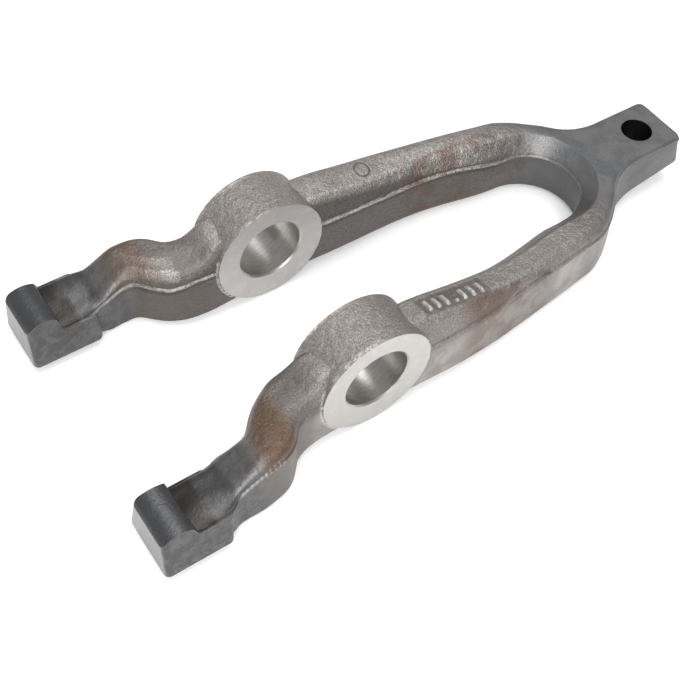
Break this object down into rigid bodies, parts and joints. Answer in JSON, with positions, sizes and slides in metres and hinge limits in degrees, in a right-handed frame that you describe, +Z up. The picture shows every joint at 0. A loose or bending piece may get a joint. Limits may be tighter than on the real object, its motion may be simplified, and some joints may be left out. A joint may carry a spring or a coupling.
{
  "type": "clutch fork",
  "caption": "Forged clutch release fork: yoke with twin pivot bosses, offset arms ending in convex cam pads, and a drilled tang for the push rod.",
  "frame": {"origin": "middle of the pivot-shaft axis, halfway between the two bosses", "axes": "+X from the pivot towards the drilled tang, +Y along the pivot bore, +Z up, towards the cam pads' working side"},
  "size_m": [0.2638, 0.1192, 0.0443],
  "materials": {
    "steel": "rough forged skin, heat-tinted, with machined boss faces and bores"
  },
  "bodies": {
    "root": {"fork": "steel"}
  },
  "joints": []
}
